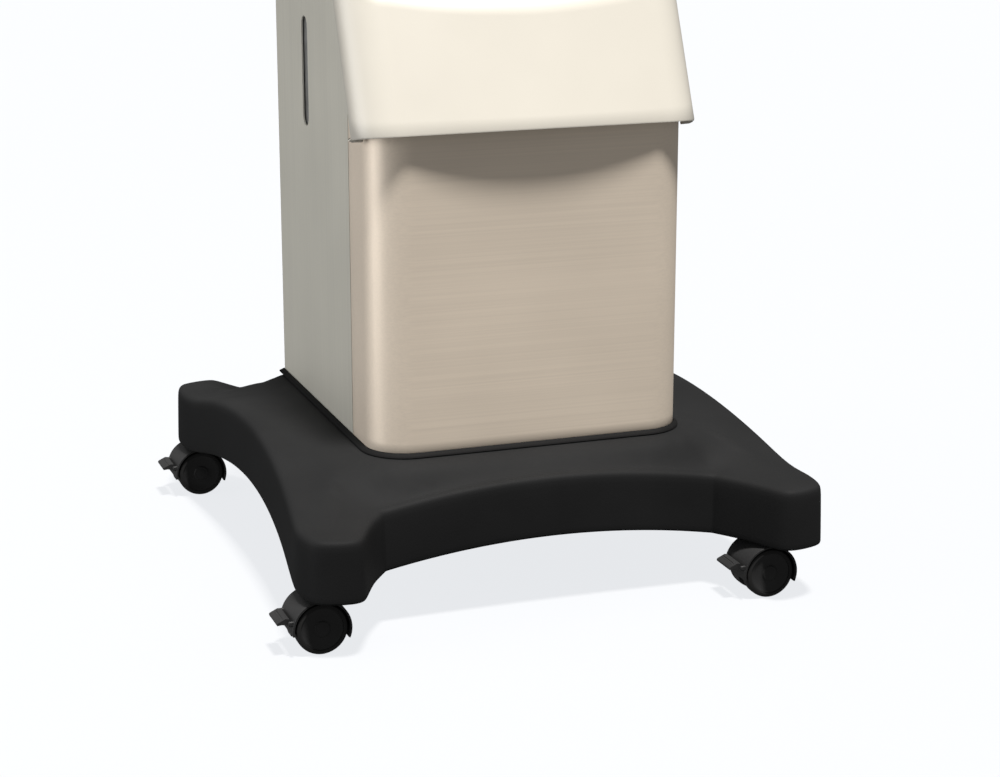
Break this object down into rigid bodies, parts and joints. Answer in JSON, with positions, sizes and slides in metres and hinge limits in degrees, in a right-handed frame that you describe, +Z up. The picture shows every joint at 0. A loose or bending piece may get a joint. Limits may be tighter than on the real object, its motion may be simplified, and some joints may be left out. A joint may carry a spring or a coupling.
{
  "type": "mobile suction pump",
  "caption": "Mobile surgical suction pump: brushed steel column on a black four-legged base with braked casters, cream control head and clear canisters.",
  "frame": {"origin": "on the floor, under the middle of the base's outline", "axes": "+X to the right seen from the front, +Y to the back, +Z up"},
  "size_m": [0.5674, 0.597, 0.891],
  "materials": {
    "black_moulding": "fine moulded texture, satin",
    "side_steel": "vertical brushed grain",
    "front_steel": "horizontal brushed grain",
    "cream_housing": "smooth satin cream",
    "zinc": "plated, satin",
    "caster_body": "moulded nylon",
    "caster_wheel": "moulded nylon, soft tread",
    "rubber": "matt",
    "handle_black": "satin",
    "motor_paint": "satin enamel",
    "cast_alloy": "as cast",
    "clear_plastic": "clear polycarbonate",
    "dial_white": "printed white",
    "signal_red": "glossy",
    "lid_blue": "glossy moulded",
    "black_gloss": "satin gloss"
  },
  "bodies": {
    "machine": {"base_moulding": "black_moulding", "column_gasket": "rubber", "left_side_panel": "side_steel", "right_side_panel": "side_steel", "front_cover": "front_steel", "rear_panel": "side_steel", "upper_fascia": "cream_housing", "control_panel": "cream_housing", "top_deck": "cream_housing", "gauge_housing": "black_gloss", "gauge_dial": "dial_white", "gauge_lens": "clear_plastic", "regulator_valve": "zinc", "rocker_switch_frame": "black_gloss", "canister_holder": "black_moulding", "vacuum_port": "zinc", "push_handle": "handle_black", "mains_inlet": "black_gloss", "chassis_tray": "zinc", "pump_isolation_mount": "rubber", "pump_motor": "motor_paint", "pump_housing": "cast_alloy", "pump_cover": "cast_alloy", "exhaust_muffler": "zinc", "caster_front_left_stem": "zinc", "caster_front_right_stem": "zinc", "caster_rear_left_stem": "zinc", "caster_rear_right_stem": "zinc"},
    "caster_front_left_swivel": {"caster_front_left_body": "caster_body", "caster_front_left_axle": "zinc"},
    "caster_front_left_front_wheel": {"caster_front_left_front_wheel": "caster_wheel"},
    "caster_front_left_rear_wheel": {"caster_front_left_rear_wheel": "caster_wheel"},
    "caster_front_left_brake": {"caster_front_left_brake_lever": "caster_body"},
    "caster_front_right_swivel": {"caster_front_right_body": "caster_body", "caster_front_right_axle": "zinc"},
    "caster_front_right_front_wheel": {"caster_front_right_front_wheel": "caster_wheel"},
    "caster_front_right_rear_wheel": {"caster_front_right_rear_wheel": "caster_wheel"},
    "caster_front_right_brake": {"caster_front_right_brake_lever": "caster_body"},
    "caster_rear_left_swivel": {"caster_rear_left_body": "caster_body", "caster_rear_left_axle": "zinc"},
    "caster_rear_left_front_wheel": {"caster_rear_left_front_wheel": "caster_wheel"},
    "caster_rear_left_rear_wheel": {"caster_rear_left_rear_wheel": "caster_wheel"},
    "caster_rear_left_brake": {"caster_rear_left_brake_lever": "caster_body"},
    "caster_rear_right_swivel": {"caster_rear_right_body": "caster_body", "caster_rear_right_axle": "zinc"},
    "caster_rear_right_front_wheel": {"caster_rear_right_front_wheel": "caster_wheel"},
    "caster_rear_right_rear_wheel": {"caster_rear_right_rear_wheel": "caster_wheel"},
    "caster_rear_right_brake": {"caster_rear_right_brake_lever": "caster_body"},
    "pump_rotor": {"pump_rotor": "zinc", "cooling_fan": "black_gloss"},
    "gauge_needle": {"gauge_needle": "signal_red"},
    "regulator_knob": {"regulator_knob": "black_gloss"},
    "rocker_switch": {"rocker_switch": "signal_red"},
    "fuse_drawer": {"fuse_drawer": "black_gloss"},
    "canister_left_jar": {"canister_left_jar": "clear_plastic"},
    "canister_left_lid": {"canister_left_lid": "lid_blue"},
    "canister_left_float": {"canister_left_float": "dial_white"},
    "canister_right_jar": {"canister_right_jar": "clear_plastic"},
    "canister_right_lid": {"canister_right_lid": "lid_blue"},
    "canister_right_float": {"canister_right_float": "dial_white"}
  },
  "joints": [
    {"name": "caster_front_left_turn", "type": "hinge", "parent": "machine", "child": "caster_front_left_swivel", "pos_m": [-0.225, -0.252, 0.05], "axis": [0, 0, 1], "continuous": true},
    {"name": "caster_front_left_front_wheel_spin", "type": "hinge", "parent": "caster_front_left_swivel", "child": "caster_front_left_front_wheel", "pos_m": [-0.243, -0.2661, 0.025], "axis": [0, 1, 0], "continuous": true},
    {"name": "caster_front_left_rear_wheel_spin", "type": "hinge", "parent": "caster_front_left_swivel", "child": "caster_front_left_rear_wheel", "pos_m": [-0.243, -0.2379, 0.025], "axis": [0, 1, 0], "continuous": true},
    {"name": "caster_front_left_brake_press", "type": "hinge", "parent": "caster_front_left_swivel", "child": "caster_front_left_brake", "pos_m": [-0.2752, -0.252, 0.033], "axis": [0, -1, 0], "range_deg": [0, 15]},
    {"name": "caster_front_right_turn", "type": "hinge", "parent": "machine", "child": "caster_front_right_swivel", "pos_m": [0.225, -0.252, 0.05], "axis": [0, 0, 1], "continuous": true},
    {"name": "caster_front_right_front_wheel_spin", "type": "hinge", "parent": "caster_front_right_swivel", "child": "caster_front_right_front_wheel", "pos_m": [0.207, -0.2661, 0.025], "axis": [0, 1, 0], "continuous": true},
    {"name": "caster_front_right_rear_wheel_spin", "type": "hinge", "parent": "caster_front_right_swivel", "child": "caster_front_right_rear_wheel", "pos_m": [0.207, -0.2379, 0.025], "axis": [0, 1, 0], "continuous": true},
    {"name": "caster_front_right_brake_press", "type": "hinge", "parent": "caster_front_right_swivel", "child": "caster_front_right_brake", "pos_m": [0.1748, -0.252, 0.033], "axis": [0, -1, 0], "range_deg": [0, 15]},
    {"name": "caster_rear_left_turn", "type": "hinge", "parent": "machine", "child": "caster_rear_left_swivel", "pos_m": [-0.225, 0.252, 0.05], "axis": [0, 0, 1], "continuous": true},
    {"name": "caster_rear_left_front_wheel_spin", "type": "hinge", "parent": "caster_rear_left_swivel", "child": "caster_rear_left_front_wheel", "pos_m": [-0.243, 0.2379, 0.025], "axis": [0, 1, 0], "continuous": true},
    {"name": "caster_rear_left_rear_wheel_spin", "type": "hinge", "parent": "caster_rear_left_swivel", "child": "caster_rear_left_rear_wheel", "pos_m": [-0.243, 0.2661, 0.025], "axis": [0, 1, 0], "continuous": true},
    {"name": "caster_rear_left_brake_press", "type": "hinge", "parent": "caster_rear_left_swivel", "child": "caster_rear_left_brake", "pos_m": [-0.2752, 0.252, 0.033], "axis": [0, -1, 0], "range_deg": [0, 15]},
    {"name": "caster_rear_right_turn", "type": "hinge", "parent": "machine", "child": "caster_rear_right_swivel", "pos_m": [0.225, 0.252, 0.05], "axis": [0, 0, 1], "continuous": true},
    {"name": "caster_rear_right_front_wheel_spin", "type": "hinge", "parent": "caster_rear_right_swivel", "child": "caster_rear_right_front_wheel", "pos_m": [0.243, 0.2379, 0.025], "axis": [0, 1, 0], "continuous": true},
    {"name": "caster_rear_right_rear_wheel_spin", "type": "hinge", "parent": "caster_rear_right_swivel", "child": "caster_rear_right_rear_wheel", "pos_m": [0.243, 0.2661, 0.025], "axis": [0, 1, 0], "continuous": true},
    {"name": "caster_rear_right_brake_press", "type": "hinge", "parent": "caster_rear_right_swivel", "child": "caster_rear_right_brake", "pos_m": [0.2752, 0.252, 0.033], "axis": [0, 1, 0], "range_deg": [0, 15]},
    {"name": "pump_rotor_spin", "type": "hinge", "parent": "machine", "child": "pump_rotor", "pos_m": [0, 0.049, 0.235], "axis": [0, -1, 0], "continuous": true},
    {"name": "gauge_needle_sweep", "type": "hinge", "parent": "machine", "child": "gauge_needle", "pos_m": [-0.088, -0.09176, 0.64981], "axis": [0, -0.6691, 0.7431], "range_deg": [-270, 0]},
    {"name": "regulator_knob_turn", "type": "hinge", "parent": "machine", "child": "regulator_knob", "pos_m": [0.02, -0.09363, 0.65189], "axis": [0, -0.6691, 0.7431], "range_deg": [-270, 0]},
    {"name": "rocker_switch_press", "type": "hinge", "parent": "machine", "child": "rocker_switch", "pos_m": [0.105, -0.08895, 0.64668], "axis": [1, 0, 0], "range_deg": [-14, 0]},
    {"name": "fuse_drawer_slide", "type": "slide", "parent": "machine", "child": "fuse_drawer", "axis": [0, 1, 0], "range_m": [0, 0.016]},
    {"name": "canister_left_jar_lift", "type": "slide", "parent": "machine", "child": "canister_left_jar", "axis": [0, 0, 1], "range_m": [0, 0.03]},
    {"name": "canister_left_lid_lift", "type": "slide", "parent": "canister_left_jar", "child": "canister_left_lid", "axis": [0, 0, 1], "range_m": [0, 0.06]},
    {"name": "canister_left_float_rise", "type": "slide", "parent": "canister_left_lid", "child": "canister_left_float", "axis": [0, 0, 1], "range_m": [0, 0.018]},
    {"name": "canister_right_jar_lift", "type": "slide", "parent": "machine", "child": "canister_right_jar", "axis": [0, 0, 1], "range_m": [0, 0.03]},
    {"name": "canister_right_lid_lift", "type": "slide", "parent": "canister_right_jar", "child": "canister_right_lid", "axis": [0, 0, 1], "range_m": [0, 0.06]},
    {"name": "canister_right_float_rise", "type": "slide", "parent": "canister_right_lid", "child": "canister_right_float", "axis": [0, 0, 1], "range_m": [0, 0.018]}
  ]
}
